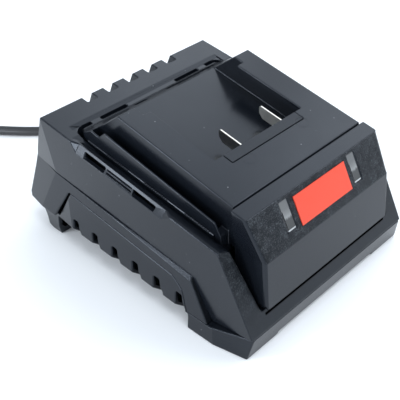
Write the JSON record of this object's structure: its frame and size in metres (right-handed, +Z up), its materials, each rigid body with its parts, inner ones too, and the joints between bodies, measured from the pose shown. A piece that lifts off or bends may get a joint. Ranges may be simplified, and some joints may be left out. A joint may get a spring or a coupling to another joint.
{
  "type": "power tool battery charger",
  "caption": "Desk charger for slide-on tool batteries: tilted dock with rail flanges and terminal blades, front cover with status windows, mains lead with plug.",
  "frame": {"origin": "on the ground under the middle of the housing's outline, free lead not counted", "axes": "+Z up, -Y towards the front cover with the status windows, +X to the right seen from the front"},
  "size_m": [0.1612, 0.467, 0.0937],
  "materials": {
    "housing": "satin",
    "dock": "satin",
    "black_plastic": "matte",
    "badge": "gloss",
    "window": "translucent",
    "plated_metal": "plated",
    "board": "solder resist",
    "ferrite": "sintered",
    "winding": "tape",
    "can": "sleeve",
    "copper": "enamelled wire",
    "yellow_case": "moulded",
    "fuse": "clear",
    "alloy": "extruded",
    "green_plastic": "moulded",
    "wire": "insulation",
    "cord": "sheath",
    "screw": "zinc",
    "led": "clear"
  },
  "bodies": {
    "root": {"upper_shell": "housing", "lower_shell": "housing", "dock_insert": "dock", "front_cover": "dock", "terminal_block": "black_plastic", "positive_blade": "plated_metal", "negative_blade": "plated_metal", "output_leads": "wire", "badge": "badge", "light_pipe_left": "window", "light_pipe_right": "window", "indicator_board": "board", "status_leds": "led", "indicator_ribbon": "wire", "circuit_board": "board", "transformer_core": "ferrite", "transformer_winding": "winding", "transformer_rails": "black_plastic", "bulk_capacitor": "can", "output_capacitors": "can", "mains_choke": "copper", "suppression_capacitor": "yellow_case", "mains_fuse": "fuse", "heat_sink": "alloy", "power_devices": "black_plastic", "control_chip": "black_plastic", "mains_terminals": "green_plastic", "mains_leads": "wire", "inner_cord": "cord", "cord_clamp": "black_plastic", "clamp_screws": "screw", "board_screws": "screw", "housing_screws": "screw", "dock_screws": "screw", "strain_relief": "cord", "cord_tube": "cord", "cord_coil": "cord", "cord_tie": "black_plastic", "plug_body": "cord", "plug_pins": "plated_metal"}
  },
  "joints": []
}
